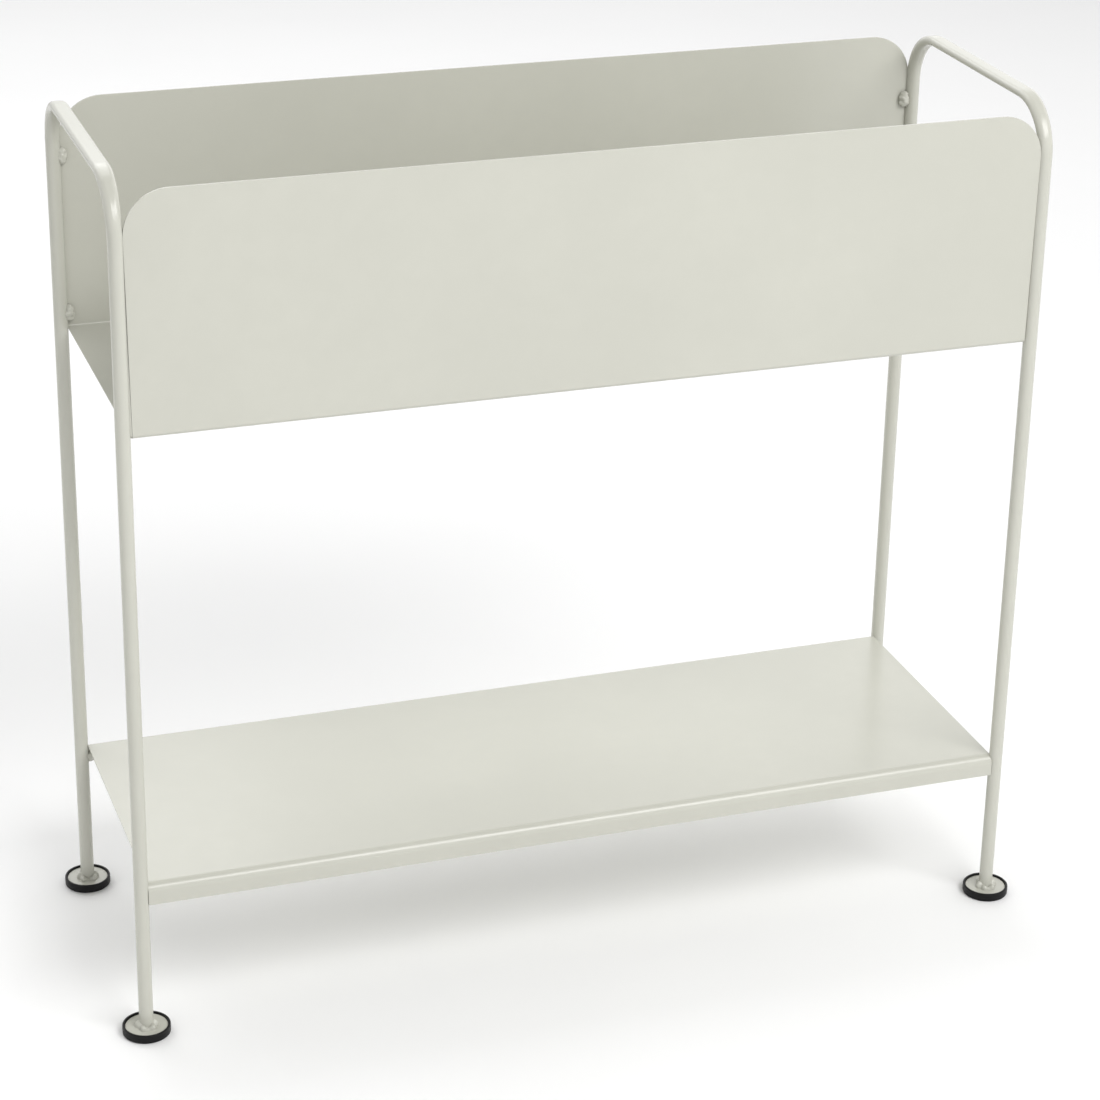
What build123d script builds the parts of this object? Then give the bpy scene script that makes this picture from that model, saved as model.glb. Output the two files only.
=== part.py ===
from build123d import *
import os

# Raised planter on legs: an open-ended sheet trough and a low shelf, welded between
# two bent-tube end frames that stand on four round feet.
#
# Frame: X runs along the planter, -Y is the front, +Z is up. The origin is on the
# floor, under the middle of the planter. Millimetres.

os.makedirs("parts", exist_ok=True)

# ---- driving dimensions -------------------------------------------------------------
leg_span = 788.0            # leg axis to leg axis, along the planter
leg_depth = 260.0           # leg axis to leg axis, front to back
leg_width = 12.2            # the bent tube's section on the legs, along the planter
leg_thickness = 11.8        # the same section measured in the plane of the bends
grip_width = 14.8           # the tube is pressed flatter along the carrying handle
grip_thickness = 7.4
tube_wall = 1.5
handle_height = 751.0       # centre line of the handle above the floor
bend_radius = 45.0          # centre line of the two bends of each end frame

sheet_end_gap = 0.25        # between the end of a sheet and the leg beside it
trough_depth = 265.5        # over the outside faces of the front and back panels
trough_bottom = 543.0
trough_top = 746.0
trough_sheet = 2.0
trough_fold = 3.5           # outside radius of the two folds along the floor
panel_corner = 37.0         # rounded top corners of the panels

shelf_depth = 267.5         # over the outside faces of its turned-down edges
shelf_top = 143.0
shelf_flange = 19.0         # height of the turned-down front and back edges
shelf_sheet = 1.5
shelf_fold = 8.0            # outside radius of the soft fold along both edges

glide_diameter = 41.0       # moulded cup under each foot
glide_height = 7.5
glide_wall = 2.0
glide_floor = 2.5
glide_rounding = 0.8
disc_thickness = 3.5        # steel disc welded under each leg
disc_clearance = 0.2        # between the disc's rim and the cup's wall
disc_rounding = 0.5
foot_weld_spread = 5.4      # how far the ring of weld reaches out along the disc
foot_weld_height = 7.5
foot_weld_lip = 0.8         # what is left of that at the weld's upper edge

bead_radius = 4.8           # weld beads inside the trough, in the corner at each leg
bead_rounding = 4.2
bead_inset_x = {"left": 7.0, "right": 8.4}     # from the leg axis to the bead's axis
bead_inset_y = 1.4
bead_length = 15.0
bead_heights = {"left": (697.0, 558.0), "right": (687.0, 558.0)}
shelf_bead_radius = 3.8     # weld beads under the shelf, in the corner at each leg
shelf_bead_rounding = 3.4
shelf_bead_inset = (7.0, 0.8)
shelf_bead_length = 9.5
shelf_bead_height = 130.0

# ---- places worked out from them ----------------------------------------------------
leg_foot = glide_floor + disc_thickness
bend_start = handle_height - bend_radius
grip_half = leg_depth / 2 - bend_radius
sheet_half = leg_span / 2 - leg_width / 2 - sheet_end_gap
trough_half = trough_depth / 2
shelf_half = shelf_depth / 2
disc_radius = glide_diameter / 2 - glide_wall - disc_clearance
sides = {"left": -1, "right": 1}
rows = {"front": -1, "rear": 1}
quarter_turn = 90.0


def bent_tube(x, inset):
    """One end frame's tube as a solid, with its surface moved inwards by inset."""
    leg_section = (leg_width - 2 * inset, leg_thickness - 2 * inset)
    grip_section = (grip_width - 2 * inset, grip_thickness - 2 * inset)
    with BuildPart() as tube:
        for row in rows.values():
            leg_y = row * leg_depth / 2
            with BuildSketch(Plane.XY.offset(leg_foot)):
                with Locations((x, leg_y)):
                    SlotOverall(*leg_section)
            extrude(amount=bend_start - leg_foot)
            arc_start, arc_turn = quarter_turn * (1 - row), quarter_turn * row
            with BuildLine(Plane.YZ.offset(x)):
                CenterArc((row * grip_half, bend_start), bend_radius, arc_start, arc_turn)
            with BuildSketch(Plane((x, leg_y, bend_start), x_dir=(1, 0, 0), z_dir=(0, 0, 1))):
                SlotOverall(*leg_section)
            bend_end = Plane((x, row * grip_half, handle_height), x_dir=(1, 0, 0), z_dir=(0, -row, 0))
            with BuildSketch(bend_end):
                SlotOverall(*grip_section)
            sweep(multisection=True)
        with BuildSketch(Plane.XZ):
            with Locations((x, handle_height)):
                SlotOverall(*grip_section)
        extrude(amount=grip_half, both=True)
    return tube.part


# ---- end frames: one bent tube each, two legs and the carrying handle ---------------
frame_outlines = {}
for side, sx in sides.items():
    frame_outlines[side] = bent_tube(sx * leg_span / 2, 0.0)
    bore = bent_tube(sx * leg_span / 2, tube_wall)
    with BuildPart() as end_frame:
        add(frame_outlines[side])
        add(bore, mode=Mode.SUBTRACT)
    end_frame.part.label = f"{side}_end_frame"
    export_step(end_frame.part, f"parts/{side}_end_frame.step")

# ---- trough: one sheet folded up at the front and back, open at both ends -----------
with BuildPart() as trough:
    with BuildSketch(Plane.YZ):
        with BuildLine() as trough_outline:
            FilletPolyline(
                (-trough_half, trough_top),
                (-trough_half, trough_bottom),
                (trough_half, trough_bottom),
                (trough_half, trough_top),
                radius=trough_fold,
            )
            offset(amount=trough_sheet, side=Side.LEFT)
        make_face()
    extrude(amount=sheet_half, both=True)
    panel_top_corners = trough.edges().filter_by(Axis.Y).group_by(Axis.Z)[-1]
    fillet(panel_top_corners, panel_corner)
trough.part.label = "trough"
export_step(trough.part, "parts/trough.step")

# ---- shelf: a flat sheet with its front and back edges rolled softly down -----------
with BuildPart() as shelf:
    with BuildSketch(Plane.YZ):
        with BuildLine() as shelf_outline:
            FilletPolyline(
                (-shelf_half, shelf_top - shelf_flange),
                (-shelf_half, shelf_top),
                (shelf_half, shelf_top),
                (shelf_half, shelf_top - shelf_flange),
                radius=shelf_fold,
            )
            offset(amount=shelf_sheet, side=Side.RIGHT)
        make_face()
    extrude(amount=sheet_half, both=True)
shelf.part.label = "shelf"
export_step(shelf.part, "parts/shelf.step")

for side, sx in sides.items():
    for row, sy in rows.items():
        leg_x, leg_y = sx * leg_span / 2, sy * leg_depth / 2
        corner = f"{row}_{side}"

        # ---- foot: a moulded cup on the floor, a steel disc in it, welded to the leg
        with BuildPart() as foot_glide:
            with BuildSketch(Plane.XY):
                with Locations((leg_x, leg_y)):
                    Circle(glide_diameter / 2)
            extrude(amount=glide_height)
            fillet(foot_glide.edges().filter_by(GeomType.CIRCLE), glide_rounding)
            with BuildSketch(Plane.XY.offset(glide_floor)):
                with Locations((leg_x, leg_y)):
                    Circle(glide_diameter / 2 - glide_wall)
            extrude(amount=glide_height, mode=Mode.SUBTRACT)
        foot_glide.part.label = f"foot_glide_{corner}"
        export_step(foot_glide.part, f"parts/foot_glide_{corner}.step")

        with BuildPart() as foot_disc:
            with BuildSketch(Plane.XY.offset(glide_floor)):
                with Locations((leg_x, leg_y)):
                    Circle(disc_radius)
            extrude(amount=disc_thickness)
            fillet(foot_disc.edges().group_by(Axis.Z)[-1], disc_rounding)
        foot_disc.part.label = f"foot_disc_{corner}"
        export_step(foot_disc.part, f"parts/foot_disc_{corner}.step")

        with BuildPart() as foot_weld:
            for height, reach in ((0.0, foot_weld_spread), (foot_weld_height, foot_weld_lip)):
                with BuildSketch(Plane.XY.offset(leg_foot + height)):
                    with Locations((leg_x, leg_y)):
                        SlotOverall(leg_width + 2 * reach, leg_thickness + 2 * reach)
            loft()
            with BuildSketch(Plane.XY.offset(leg_foot)):
                with Locations((leg_x, leg_y)):
                    SlotOverall(leg_width, leg_thickness)
            extrude(amount=foot_weld_height, mode=Mode.SUBTRACT)
        foot_weld.part.label = f"foot_weld_{corner}"
        export_step(foot_weld.part, f"parts/foot_weld_{corner}.step")

        # ---- two weld beads in the trough's corner, against the leg
        bead_x, bead_y = leg_x - sx * bead_inset_x[side], leg_y - sy * bead_inset_y
        with BuildPart() as trough_welds:
            for bead_height in bead_heights[side]:
                with BuildSketch(Plane.XY.offset(bead_height - bead_length / 2)):
                    with Locations((bead_x, bead_y)):
                        Circle(bead_radius)
                extrude(amount=bead_length)
            fillet(trough_welds.edges().filter_by(GeomType.CIRCLE), bead_rounding)
            panel_face = Plane((0, sy * (trough_half - trough_sheet), 0), z_dir=(0, -sy, 0))
            split(bisect_by=panel_face, keep=Keep.TOP)
            add(frame_outlines[side], mode=Mode.SUBTRACT)
        trough_welds.part.label = f"trough_welds_{corner}"
        export_step(trough_welds.part, f"parts/trough_welds_{corner}.step")

        # ---- one weld bead under the shelf, inside its folded edge
        bead_x = leg_x - sx * shelf_bead_inset[0]
        bead_y = leg_y - sy * shelf_bead_inset[1]
        with BuildPart() as shelf_weld:
            with BuildSketch(Plane.XY.offset(shelf_bead_height - shelf_bead_length / 2)):
                with Locations((bead_x, bead_y)):
                    Circle(shelf_bead_radius)
            extrude(amount=shelf_bead_length)
            fillet(shelf_weld.edges().filter_by(GeomType.CIRCLE), shelf_bead_rounding)
            flange_face = Plane((0, sy * (shelf_half - shelf_sheet), 0), z_dir=(0, -sy, 0))
            split(bisect_by=flange_face, keep=Keep.TOP)
            add(frame_outlines[side], mode=Mode.SUBTRACT)
        shelf_weld.part.label = f"shelf_weld_{corner}"
        export_step(shelf_weld.part, f"parts/shelf_weld_{corner}.step")
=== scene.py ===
import math
import random

import bmesh
import bpy
from mathutils import Matrix, Vector, noise


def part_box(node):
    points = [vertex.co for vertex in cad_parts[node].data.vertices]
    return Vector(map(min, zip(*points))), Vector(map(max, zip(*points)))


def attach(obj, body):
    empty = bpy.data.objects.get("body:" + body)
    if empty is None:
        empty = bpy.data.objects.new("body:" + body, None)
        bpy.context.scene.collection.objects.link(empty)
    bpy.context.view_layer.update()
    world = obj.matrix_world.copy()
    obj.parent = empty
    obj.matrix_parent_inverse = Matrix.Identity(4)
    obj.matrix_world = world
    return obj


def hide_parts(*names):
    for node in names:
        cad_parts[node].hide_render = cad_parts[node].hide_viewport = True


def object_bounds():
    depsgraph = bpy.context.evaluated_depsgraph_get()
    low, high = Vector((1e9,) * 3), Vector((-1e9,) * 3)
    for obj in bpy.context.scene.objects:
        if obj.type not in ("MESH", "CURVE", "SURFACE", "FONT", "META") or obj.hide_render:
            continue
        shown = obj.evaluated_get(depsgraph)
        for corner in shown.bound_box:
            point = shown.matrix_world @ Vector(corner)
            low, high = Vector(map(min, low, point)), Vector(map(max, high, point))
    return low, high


# The looks of a raised planter on legs, built round its CAD frame. Metres, +Z up, and -Y
# is the front. The bent-tube end frames stay as CAD made them; the two folded sheets, the
# feet and the weld beads are replaced by finer pieces on the same places.

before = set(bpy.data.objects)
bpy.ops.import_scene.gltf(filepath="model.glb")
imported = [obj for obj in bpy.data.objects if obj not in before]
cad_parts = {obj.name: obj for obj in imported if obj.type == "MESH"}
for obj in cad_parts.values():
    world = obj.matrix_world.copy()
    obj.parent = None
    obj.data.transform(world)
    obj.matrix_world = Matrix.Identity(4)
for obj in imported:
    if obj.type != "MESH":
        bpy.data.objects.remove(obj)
cad_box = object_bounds()

# ---- sizes of the details -----------------------------------------------------------
MM = 0.001
BODY = "root"

TROUGH_SHEET = 2.0 * MM
TROUGH_FOLD = 3.5 * MM          # outside radius of the folds along the trough's floor
PANEL_CORNER = 37.0 * MM
TROUGH_OUTER_ARRIS = 1.7 * MM   # the rolled-over outer edge of the cut sheet
TROUGH_INNER_ARRIS = 0.2 * MM

SHELF_SHEET = 1.5 * MM
SHELF_FOLD = 8.0 * MM
FLANGE_CORNER = 0.8 * MM
SHELF_OUTER_ARRIS = 0.5 * MM
SHELF_INNER_ARRIS = 0.2 * MM
END_REACH = 0.9 * MM            # the welded sheets run into the paint of the legs

LEG_RADIUS = 6.0 * MM
WELD_ROOT = LEG_RADIUS - 0.3 * MM       # the weld's skin starts just inside the tube's wall
WELD_HEART = LEG_RADIUS - 0.6 * MM      # and closes a little deeper, out of sight
WELD_SUNK = 0.2 * MM            # how far the ring of weld reaches down into the disc
LUMP_CROWN = 1.9 * MM
FOOT_LUMPS = ((-118, 1.0), (-62, 1.0), (-8, 0.7), (62, 0.9), (118, 0.9), (184, 0.7))
DISC_EDGE = 0.7 * MM            # rounding of the foot disc's upper rim
DISC_DISH = 0.35 * MM           # the heat of the weld draws the disc's middle up
CUP_EDGE = 0.8 * MM
CUP_WALL = 2.0 * MM
CUP_FLOOR = 2.5 * MM
CUP_RECESS = 0.6 * MM           # depth of the hollows between the rings under the cup
CUP_RINGS = (5.5 * MM, 10.0 * MM, 14.5 * MM)
CUP_RING_HALF = 1.1 * MM        # half of a ring's width on the floor
CUP_RING_FOOT = 1.5 * MM        # the same where it meets the cup
CUP_MARK = 2.0 * MM             # radius of the moulding mark in the middle
CUP_SOLE = 2.6 * MM             # width of the band round the underside
SEAM_HALF = 0.25 * MM           # half the height of the moulding seam
SEAM_RISE = 0.12 * MM
CUP_LIP = 0.4 * MM

BEAD_RADIUS = 4.8 * MM
SHELF_BEAD_RADIUS = 3.8 * MM
BEAD_SUNK = 0.3 * MM            # how far a bead reaches into the sheet beside it
BEAD_GAP = 20 * MM              # a longer step in height starts the next bead

FOOT_SEED, BEAD_SEED = 11, 41
FOLD_STEPS, SOFT_FOLD_STEPS, RIM_STEPS = 8, 16, 6

CORNERS = ("front_left", "front_right", "rear_left", "rear_right")


# ---- outlines -----------------------------------------------------------------------
def arc(centre, radius, start, turn, steps):
    """Points along an arc in a plane, from the angle start through turn, in degrees."""
    points = []
    for k in range(steps + 1):
        angle = math.radians(start + turn * k / steps)
        points.append((centre[0] + radius * math.cos(angle), centre[1] + radius * math.sin(angle)))
    return points


def trough_section(inset):
    """The trough's cross-section (y, z), front edge to back edge, inset from its outside."""
    low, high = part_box("trough")
    half, radius = high.y, TROUGH_FOLD
    fold_z = low.z + radius
    front = arc((radius - half, fold_z), radius - inset, 180, 90, FOLD_STEPS)
    back = arc((half - radius, fold_z), radius - inset, 270, 90, FOLD_STEPS)
    return [(inset - half, high.z), *front, *back, (half - inset, high.z)]


def shelf_section(inset):
    """The shelf's cross-section (y, z), front edge to back edge, inset from its outside."""
    low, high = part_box("shelf")
    half, radius = high.y, SHELF_FOLD
    fold_z = high.z - radius
    front = arc((radius - half, fold_z), radius - inset, 180, -90, SOFT_FOLD_STEPS)
    back = arc((half - radius, fold_z), radius - inset, 90, -90, SOFT_FOLD_STEPS)
    return [(inset - half, low.z), *front, *back, (half - inset, low.z)]


# ---- mesh building ------------------------------------------------------------------
def sheet_side(bm, section, half_length, corner, steps=14):
    """One side of a folded sheet: its faces, and its whole edge as a loop of vertices."""
    left = [bm.verts.new((-half_length, y, z)) for y, z in section[1:-1]]
    right = [bm.verts.new((half_length, y, z)) for y, z in section[1:-1]]
    rims = []
    for free, fold in ((section[0], section[1]), (section[-1], section[-2])):
        free, fold = Vector(free), Vector(fold)
        along = (fold - free).normalized()
        rim = []
        for side, turns in ((-1, range(steps + 1)), (1, range(steps, -1, -1))):
            for k in turns:
                angle = math.pi / 2 * k / steps
                x = side * (half_length - corner * (1 - math.cos(angle)))
                y, z = free + along * corner * (1 - math.sin(angle))
                rim.append(bm.verts.new((x, y, z)))
        rims.append(rim)
    bm.faces.new([left[0], *rims[0], right[0]])
    bm.faces.new([left[-1], *rims[1], right[-1]])
    for k in range(len(left) - 1):
        bm.faces.new([left[k], right[k], right[k + 1], left[k + 1]])
    return [*rims[0], *right, *reversed(rims[1]), *reversed(left)]


def folded_sheet(section, thickness, half_length, corner, outer_arris, inner_arris):
    """A bent sheet along X with rounded free corners and rounded edges."""
    bm = bmesh.new()
    outer = sheet_side(bm, section(0.0), half_length, corner)
    inner = sheet_side(bm, section(thickness), half_length, corner)
    outer_edges, inner_edges = [], []
    for k in range(len(outer)):
        a, b, c, d = outer[k - 1], outer[k], inner[k], inner[k - 1]
        bm.faces.new([a, b, c, d])
        outer_edges.append(bm.edges.get((a, b)))
        inner_edges.append(bm.edges.get((d, c)))
    for edges, width, segments in ((outer_edges, outer_arris, 6), (inner_edges, inner_arris, 2)):
        bmesh.ops.bevel(bm, geom=edges, offset=width, offset_type="OFFSET", segments=segments,
                        profile=0.5, affect="EDGES", clamp_overlap=True)
    return bm


def lathe(profile, centre, steps=128):
    """A closed solid turned about the vertical line through centre, from (radius, z) points.
    The first and the last point lie on the axis."""
    bm = bmesh.new()
    rings = []
    for radius, z in profile[1:-1]:
        ring = []
        for k in range(steps):
            angle = 2 * math.pi * k / steps
            spot = (centre.x + radius * math.cos(angle), centre.y + radius * math.sin(angle), z)
            ring.append(bm.verts.new(spot))
        rings.append(ring)
    for (_, z), ring in ((profile[0], rings[0]), (profile[-1], rings[-1])):
        tip = bm.verts.new((centre.x, centre.y, z))
        for k in range(steps):
            bm.faces.new([tip, ring[k - 1], ring[k]])
    join_rings(bm, rings)
    return bm


def join_rings(bm, rings, close=False):
    """Faces between neighbouring rings of vertices, and from the last to the first to close."""
    pairs = list(zip(rings, rings[1:]))
    if close:
        pairs.append((rings[-1], rings[0]))
    for first, second in pairs:
        for k in range(len(first)):
            bm.faces.new([first[k - 1], first[k], second[k], second[k - 1]])


def lumpy(point, scale, depth):
    """A small push in or out that depends on the place alone."""
    return depth * noise.noise(point * scale)


def weld_ring(centre, floor_z, reach, height, seed):
    """The weld round the foot of a leg as one closed skin: it climbs the leg on its left and
    right, stays low at the front and back, and ends in melted lumps on the disc."""
    draw = random.Random(seed)
    lumps = []
    for degrees, size in FOOT_LUMPS:
        angle = math.radians(degrees + draw.uniform(-10, 10))
        lumps.append((angle, draw.uniform(0.30, 0.37), size * draw.uniform(0.85, 1.1)))
    bm = bmesh.new()
    rings = []
    around, over = 240, 22
    for i in range(around):
        angle = 2 * math.pi * i / around
        swell = 0.0
        for middle, width, size in lumps:
            gap = math.remainder(angle - middle, 2 * math.pi)
            swell += size * math.exp(-((gap / width) ** 2))
        climb = math.cos(angle) ** 2
        out = reach * (0.50 + 0.48 * swell)
        up = height * (0.16 + 0.52 * climb + 0.12 * swell)
        way = Vector((math.cos(angle), math.sin(angle), 0.0))
        ring = []
        for k in range(over + 1):
            rise = math.pi / 2 * k / over
            crown = swell * LUMP_CROWN * math.sin(2 * rise) ** 2
            spot = centre + way * (WELD_ROOT + out * math.cos(rise) ** 1.7 + 0.5 * crown)
            spot.z = floor_z + up * math.sin(rise) ** 1.9 + crown
            spot += way * lumpy(spot, 300, 0.25 * MM) * math.sin(2 * rise)
            ring.append(bm.verts.new(spot))
        buried = centre + way * WELD_HEART
        ring.append(bm.verts.new((buried.x, buried.y, floor_z + up)))
        ring.append(bm.verts.new((buried.x, buried.y, floor_z - WELD_SUNK)))
        rim = centre + way * (WELD_ROOT + out)
        ring.append(bm.verts.new((rim.x, rim.y, floor_z - WELD_SUNK)))
        rings.append(ring)
    join_rings(bm, rings, close=True)
    return bm


def weld_bead(bm, centre, radius, length, wall, seed):
    """One short upright bead of two or three melted puddles, flat where it meets the sheet
    whose face is at y = wall."""
    draw = random.Random(seed)
    steps, sides = 56, 44
    puddles = draw.choice((2, 3))
    lean, phase = draw.uniform(-0.6, 0.6) * MM, draw.uniform(0, 1)
    sunk = wall + math.copysign(BEAD_SUNK, wall)
    rings = []
    for i in range(1, steps):
        t = i / steps
        end = (1 - abs(2 * t - 1) ** 2.6) ** (1 / 2.1)
        wave = (t * puddles + phase) % 1.0
        scallop = 0.90 + 0.11 * math.sin(math.pi * wave)
        ring = []
        for k in range(sides):
            angle = 2 * math.pi * k / sides
            r = radius * end * scallop
            spot = centre + Vector((r * math.cos(angle), r * math.sin(angle), (t - 0.5) * length))
            spot.z -= 0.12 * r * math.cos(2 * angle)
            spot.x += lean * math.sin(math.pi * t)
            push = lumpy(spot, 260, 1.3 * MM) + lumpy(spot, 700, 0.35 * MM)
            spot += Vector((math.cos(angle), math.sin(angle), 0.2)) * push * end
            spot.y = max(spot.y, sunk) if wall < 0 else min(spot.y, sunk)
            ring.append(bm.verts.new(spot))
        rings.append(ring)
    join_rings(bm, rings)
    bm.faces.new(rings[0])
    bm.faces.new(rings[-1])


# ---- materials ----------------------------------------------------------------------
DRIFT_WAVES, MOTTLE_WAVES = 5.0, 55.0       # waves a metre of the paint's colour
RIPPLE_WAVES, PEEL_WAVES = 42.0, 900.0      # and of its surface
RIPPLE_DEPTH, PEEL_DEPTH = 0.4 * MM, 0.06 * MM
EDGE_WIDTH, CREVICE_SHADE_REACH = 0.9 * MM, 9 * MM


def make_node(tree, kind, links=(), values=(), **settings):
    """A shader node with its settings, typed-in values and links from other sockets."""
    made = tree.nodes.new(kind)
    for key, value in settings.items():
        setattr(made, key, value)
    for key, value in dict(values).items():
        made.inputs[key].default_value = value
    for key, socket in dict(links).items():
        tree.links.new(socket, made.inputs[key])
    return made


def noise_at(tree, place, scale, detail=3.0, roughness=0.55):
    """Noise over the object, scale in waves a metre; the output runs from 0 to 1."""
    values = {"Scale": scale, "Detail": detail, "Roughness": roughness}
    return make_node(tree, "ShaderNodeTexNoise", {"Vector": place}, values).outputs["Fac"]


def remap(tree, source, low, high, to_low, to_high):
    values = {"From Min": low, "From Max": high, "To Min": to_low, "To Max": to_high}
    return make_node(tree, "ShaderNodeMapRange", {"Value": source}, values).outputs["Result"]


def blend_colour(tree, factor, first, second):
    """Mixes two colours, each a socket or a tuple, by a factor socket."""
    mix = make_node(tree, "ShaderNodeMix", data_type="RGBA")
    tree.links.new(factor, mix.inputs[0])
    for slot, colour in ((6, first), (7, second)):
        if isinstance(colour, tuple):
            mix.inputs[slot].default_value = (*colour, 1.0)
        else:
            tree.links.new(colour, mix.inputs[slot])
    return mix.outputs[2]


def shade(colour, factor):
    return tuple(min(1.0, c * factor) for c in colour)


def edge_mask(tree, radius):
    """1 on outward and inward edges, 0 on flat ground."""
    soft = make_node(tree, "ShaderNodeBevel", values={"Radius": radius}, samples=4)
    true = make_node(tree, "ShaderNodeNewGeometry")
    links = {0: soft.outputs["Normal"], 1: true.outputs["Normal"]}
    match = make_node(tree, "ShaderNodeVectorMath", links, operation="DOT_PRODUCT")
    return remap(tree, match.outputs["Value"], 0.995, 0.86, 0.0, 1.0)


def crevice_shade_mask(tree, distance):
    """1 in tight corners, 0 in the open; it sets where painted shade darkens the coat."""
    closed = make_node(tree, "ShaderNodeAmbientOcclusion", values={"Distance": distance}, samples=6)
    return remap(tree, closed.outputs["AO"], 0.75, 0.25, 0.0, 1.0)


def bump(tree, height, strength, distance, under=None):
    values = {"Strength": strength, "Distance": distance}
    links = {"Height": height}
    if under is not None:
        links["Normal"] = under
    return make_node(tree, "ShaderNodeBump", links, values).outputs["Normal"]


def powder_coat(name, colour, roughness, peel, ripple):
    """Satin powder coat: slow and fine colour drift, orange peel, edges painted lighter (part painted
    highlight, part thin worn coat), and painted shade in the crevices.
    """
    material = bpy.data.materials.new(name)
    material.use_nodes = True
    tree = material.node_tree
    shader = tree.nodes["Principled BSDF"]
    place = make_node(tree, "ShaderNodeTexCoord").outputs["Object"]
    slow = remap(tree, noise_at(tree, place, DRIFT_WAVES, 2.0), 0.35, 0.65, 0.0, 1.0)
    fine = remap(tree, noise_at(tree, place, MOTTLE_WAVES, 2.0), 0.35, 0.65, 0.0, 1.0)
    tone = blend_colour(tree, slow, shade(colour, 0.975), shade(colour, 1.02))
    tone = blend_colour(tree, remap(tree, fine, 0, 1, 0.0, 0.22), tone, shade(colour, 0.955))
    # painted highlight and wear: rounded edges are painted lighter, partly a painted highlight for the
    # light the edges catch, partly a thinner, worn coat
    tone = blend_colour(tree, remap(tree, edge_mask(tree, EDGE_WIDTH), 0, 1, 0.0, 0.35), tone,
                        shade(colour, 1.09))
    # painted shade: the base colour is darkened to 80 % in tight corners and recesses, where shade
    # falls
    tone = blend_colour(tree, remap(tree, crevice_shade_mask(tree, CREVICE_SHADE_REACH), 0, 1, 0.0, 0.5), tone,
                        shade(colour, 0.80))
    tree.links.new(tone, shader.inputs["Base Color"])
    gloss = make_node(tree, "ShaderNodeMath", {0: slow, 1: fine}, operation="ADD")
    matt = remap(tree, gloss.outputs[0], 0, 2, roughness - 0.03, roughness + 0.025)
    tree.links.new(matt, shader.inputs["Roughness"])
    normal = bump(tree, noise_at(tree, place, RIPPLE_WAVES, 1.0), ripple, RIPPLE_DEPTH)
    normal = bump(tree, noise_at(tree, place, PEEL_WAVES, 2.0), peel, PEEL_DEPTH, normal)
    tree.links.new(normal, shader.inputs["Normal"])
    shader.inputs["Specular IOR Level"].default_value = 0.5
    shader.inputs["IOR"].default_value = 1.5
    return material


def moulded_rubber(name, colour):
    """Black moulded rubber: fine grain, faint turning marks and dust on its edges."""
    material = bpy.data.materials.new(name)
    material.use_nodes = True
    tree = material.node_tree
    shader = tree.nodes["Principled BSDF"]
    place = make_node(tree, "ShaderNodeTexCoord").outputs["Object"]
    cloud = remap(tree, noise_at(tree, place, 130.0, 4.0), 0.35, 0.65, 0.0, 1.0)
    grain = noise_at(tree, place, 2400.0, 3.0)
    tone = blend_colour(tree, cloud, colour, shade(colour, 1.7))
    tone = blend_colour(tree, remap(tree, edge_mask(tree, 0.7 * MM), 0, 1, 0.0, 0.5), tone,
                        shade(colour, 3.2))
    dust = remap(tree, noise_at(tree, place, 700.0, 5.0, 0.7), 0.58, 0.75, 0.0, 0.4)
    tone = blend_colour(tree, dust, tone, shade(colour, 3.0))
    tree.links.new(tone, shader.inputs["Base Color"])
    tree.links.new(remap(tree, cloud, 0, 1, 0.42, 0.55), shader.inputs["Roughness"])
    squash = make_node(tree, "ShaderNodeMapping", {"Vector": place}, {"Scale": (1, 1, 30)})
    layers = noise_at(tree, squash.outputs["Vector"], 60.0, 2.0)
    normal = bump(tree, layers, 0.12, 0.1 * MM)
    normal = bump(tree, grain, 0.35, 0.05 * MM, normal)
    tree.links.new(normal, shader.inputs["Normal"])
    shader.inputs["Specular IOR Level"].default_value = 0.22
    return material


COAT = (0.496, 0.495, 0.438)
tube_coat = powder_coat("tube_coat", COAT, 0.22, 0.10, 0.0)
sheet_coat = powder_coat("sheet_coat", COAT, 0.24, 0.12, 0.02)
foot_coat = powder_coat("foot_coat", COAT, 0.24, 0.14, 0.15)
weld_coat = powder_coat("weld_coat", COAT, 0.20, 0.12, 0.10)
glide_rubber = moulded_rubber("glide_rubber", (0.0028, 0.0028, 0.0031))


# ---- pieces -------------------------------------------------------------------------
def add_piece(name, bm, nodes, material):
    """Turns bm into a smooth-shaded piece that stands for the CAD nodes."""
    bmesh.ops.recalc_face_normals(bm, faces=bm.faces)
    for face in bm.faces:
        face.smooth = True
    mesh = bpy.data.meshes.new(name)
    bm.to_mesh(mesh)
    bm.free()
    piece = bpy.data.objects.new(name, mesh)
    bpy.context.scene.collection.objects.link(piece)
    mesh.materials.append(material)
    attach(piece, BODY)
    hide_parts(*nodes)
    return piece


def even_normals(piece):
    """Keeps broad flat faces flat where they meet the fine rounded edges."""
    weigh = piece.modifiers.new("even_normals", "WEIGHTED_NORMAL")
    weigh.mode = "FACE_AREA"
    weigh.weight = 100
    weigh.keep_sharp = True


def make_sheets():
    for node, section, thickness, corner, outer, inner in (
        ("trough", trough_section, TROUGH_SHEET, PANEL_CORNER, TROUGH_OUTER_ARRIS, TROUGH_INNER_ARRIS),
        ("shelf", shelf_section, SHELF_SHEET, FLANGE_CORNER, SHELF_OUTER_ARRIS, SHELF_INNER_ARRIS),
    ):
        half_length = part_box(node)[1].x + END_REACH
        bm = folded_sheet(section, thickness, half_length, corner, outer, inner)
        even_normals(add_piece(node + "_sheet", bm, [node], sheet_coat))


def disc_profile(low, high, radius):
    """Half of the foot disc's section: flat below, a rounded rim, a faintly raised middle."""
    edge = arc((radius - DISC_EDGE, high - DISC_EDGE), DISC_EDGE, 0, 90, RIM_STEPS)
    crown = []
    for part in (0.85, 0.7, 0.55, 0.4, 0.2):
        rise = DISC_DISH * (1 - part) ** 2
        crown.append((radius * part, high + rise))
    return [(0, low), (radius - 0.3 * MM, low), (radius, low + 0.3 * MM), *edge, *crown,
            (0, high + DISC_DISH)]


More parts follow.
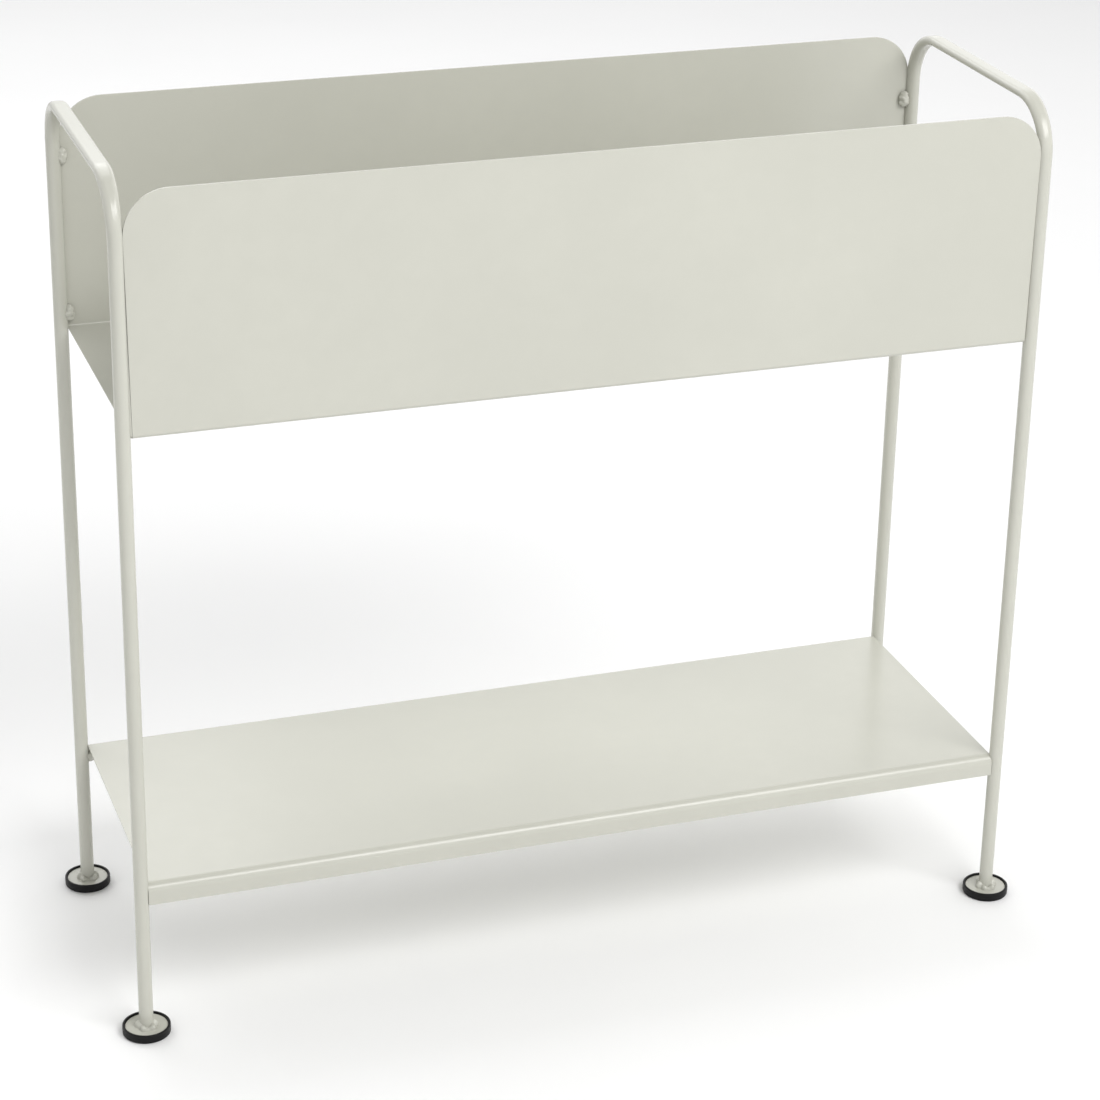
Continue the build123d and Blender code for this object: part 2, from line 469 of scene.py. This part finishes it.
def cup_profile(low, high, radius):
    """Half of the moulded cup's section, from the middle of its underside round to its floor."""
    inside = radius - CUP_WALL
    floor = low + CUP_FLOOR
    seam = (low + high) / 2
    hollow = low + CUP_RECESS
    under = [(0, hollow), (CUP_MARK, hollow), (CUP_MARK + 0.5 * MM, low + 1.2 * CUP_RECESS)]
    for middle in CUP_RINGS:
        under += [(middle - CUP_RING_FOOT, hollow), (middle - CUP_RING_HALF, low),
                  (middle + CUP_RING_HALF, low), (middle + CUP_RING_FOOT, hollow)]
    under.append((radius - CUP_SOLE, low))
    foot_edge = arc((radius - CUP_EDGE, low + CUP_EDGE), CUP_EDGE, 270, 90, RIM_STEPS)
    parting = [(radius, seam - SEAM_HALF), (radius + SEAM_RISE, seam), (radius, seam + SEAM_HALF)]
    outer_rim = arc((radius - CUP_EDGE, high - CUP_EDGE), CUP_EDGE, 0, 90, RIM_STEPS)
    inner_rim = arc((inside + CUP_LIP, high - CUP_LIP), CUP_LIP, 90, 90, 4)
    return [*under, *foot_edge, *parting, *outer_rim, *inner_rim, (inside, floor), (0, floor)]


def make_feet():
    for number, corner in enumerate(CORNERS):
        for kind, profile, slot, material in (
            ("foot_disc", disc_profile, "foot_coat", foot_coat),
            ("foot_glide", cup_profile, "glide_rubber", glide_rubber),
        ):
            low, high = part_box(f"{kind}_{corner}")
            bm = lathe(profile(low.z, high.z, (high.x - low.x) / 2), (low + high) / 2)
            node = f"{kind}_{corner}"
            even_normals(add_piece(node + "_look", bm, [node], material))
        node = f"foot_weld_{corner}"
        low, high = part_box(node)
        reach = (high.x - low.x) / 2 - LEG_RADIUS
        bm = weld_ring((low + high) / 2, low.z, reach, high.z - low.z, FOOT_SEED + number)
        add_piece(node + "_look", bm, [node], weld_coat)


def bead_places(node):
    """The height range of each bead in a CAD node, lowest first."""
    heights = sorted(v.co.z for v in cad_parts[node].data.vertices)
    runs = [[heights[0], heights[0]]]
    for z in heights:
        if z - runs[-1][1] > BEAD_GAP:
            runs.append([z, z])
        runs[-1][1] = z
    return runs


def make_beads():
    seed = BEAD_SEED
    for kind, radius in (("trough_welds", BEAD_RADIUS), ("shelf_weld", SHELF_BEAD_RADIUS)):
        for corner in CORNERS:
            node = f"{kind}_{corner}"
            low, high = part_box(node)
            x = high.x - radius if high.x < 0 else low.x + radius
            y = high.y - radius if high.y < 0 else low.y + radius
            wall = low.y if high.y < 0 else high.y
            bm = bmesh.new()
            for bottom, top in bead_places(node):
                centre = Vector((x, y, (bottom + top) / 2))
                weld_bead(bm, centre, radius, top - bottom, wall, seed)
                seed += 1
            add_piece(node + "_look", bm, [node], weld_coat)


def finish_tubes():
    for side in ("left", "right"):
        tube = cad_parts[f"{side}_end_frame"]
        tube.data.materials.clear()
        tube.data.materials.append(tube_coat)


make_sheets()
make_feet()
make_beads()
finish_tubes()


# ---- room, lights and camera --------------------------------------------------------
FLOOR_HALF, FLOOR_DEPTH = 14.0, -0.0004


def make_floor():
    material = bpy.data.materials.new("pale_floor")
    material.use_nodes = True
    tree = material.node_tree
    shader = tree.nodes["Principled BSDF"]
    place = make_node(tree, "ShaderNodeTexCoord").outputs["Object"]
    cloud = remap(tree, noise_at(tree, place, 1.5, 3.0), 0.3, 0.7, 0.0, 1.0)
    tone = blend_colour(tree, cloud, (0.90, 0.90, 0.90), (0.92, 0.92, 0.92))
    tree.links.new(tone, shader.inputs["Base Color"])
    shader.inputs["Roughness"].default_value = 0.85
    shader.inputs["Specular IOR Level"].default_value = 0.1
    mesh = bpy.data.meshes.new("studio_floor")
    turns = ((-1, -1), (1, -1), (1, 1), (-1, 1))
    corners = [(x * FLOOR_HALF, y * FLOOR_HALF, FLOOR_DEPTH) for x, y in turns]
    mesh.from_pydata(corners, [], [(0, 1, 2, 3)])
    floor = bpy.data.objects.new("studio_floor", mesh)
    bpy.context.scene.collection.objects.link(floor)
    mesh.materials.append(material)


def area_light(name, spot, target, width, height, power):
    data = bpy.data.lights.new(name, "AREA")
    data.shape = "RECTANGLE"
    data.size, data.size_y = width, height
    data.energy = power
    light = bpy.data.objects.new(name, data)
    bpy.context.scene.collection.objects.link(light)
    light.location = spot
    light.rotation_mode = "QUATERNION"
    light.rotation_quaternion = (Vector(target) - Vector(spot)).to_track_quat("-Z", "Y")


SKY_WALLS, SKY_ZENITH = 1.14, 0.10
SKY_LEFT, SKY_RIGHT = 0.93, 1.05
SKY_FRONT, SKY_BACK = 0.86, 1.14
# Each softbox: name, place, width, height in metres, and power in watts.
SOFTBOXES = (
    ("key", (1.0, -2.2, 2.8), 2.2, 1.5, 73.0),
    ("back", (2.0, 2.6, 1.6), 1.8, 1.8, 3.0),
    ("high_back", (-0.6, 2.3, 3.0), 2.8, 2.8, 47.0),
)


def light_room():
    """A white room with a dim ceiling, brighter at the back and on the right, and three softboxes."""
    world = bpy.data.worlds.new("soft_room")
    bpy.context.scene.world = world
    world.use_nodes = True
    tree = world.node_tree
    sky = tree.nodes["Background"]
    sky.inputs["Color"].default_value = (1.0, 1.0, 1.0, 1.0)
    way = make_node(tree, "ShaderNodeTexCoord").outputs["Generated"]
    axes = make_node(tree, "ShaderNodeSeparateXYZ", {"Vector": way})
    height = remap(tree, axes.outputs["Z"], 0.5, 0.95, SKY_WALLS, SKY_ZENITH)
    side = remap(tree, axes.outputs["X"], -1.0, 1.0, SKY_LEFT, SKY_RIGHT)
    depth = remap(tree, axes.outputs["Y"], -1.0, 1.0, SKY_FRONT, SKY_BACK)
    across = make_node(tree, "ShaderNodeMath", {0: side, 1: depth}, operation="MULTIPLY")
    strength = make_node(tree, "ShaderNodeMath", {0: height, 1: across.outputs[0]},
                         operation="MULTIPLY")
    tree.links.new(strength.outputs[0], sky.inputs["Strength"])
    middle = (cad_box[0] + cad_box[1]) / 2
    for name, spot, wide, tall, power in SOFTBOXES:
        area_light(name, spot, middle, wide, tall, power)


VIEW_EYE = Vector((-0.81389, -2.35103, 1.46279))
VIEW_YAW, VIEW_PITCH, VIEW_ROLL = 0.3353, -0.4022, 0.0181    # radians
VIEW_LENS = 2.8118              # focal length in picture widths
VIEW_SHIFT = -0.06


def make_camera():
    level = math.cos(VIEW_PITCH)
    ahead = Vector((math.sin(VIEW_YAW) * level, math.cos(VIEW_YAW) * level, math.sin(VIEW_PITCH)))
    right = ahead.cross(Vector((0, 0, 1))).normalized()
    up = right.cross(ahead)
    leaning_right = right * math.cos(VIEW_ROLL) + up * math.sin(VIEW_ROLL)
    leaning_up = up * math.cos(VIEW_ROLL) - right * math.sin(VIEW_ROLL)
    data = bpy.data.cameras.new("photo_view")
    data.sensor_width = 36.0
    data.lens = VIEW_LENS * data.sensor_width
    data.shift_y = VIEW_SHIFT
    data.clip_start, data.clip_end = 0.05, 60.0
    camera = bpy.data.objects.new("photo_view", data)
    bpy.context.scene.collection.objects.link(camera)
    turn = Matrix((leaning_right, leaning_up, -ahead)).transposed()
    camera.matrix_world = Matrix.Translation(VIEW_EYE) @ turn.to_4x4()
    bpy.context.scene.camera = camera


make_floor()
light_room()
make_camera()
bpy.context.scene.view_settings.view_transform = "Standard"
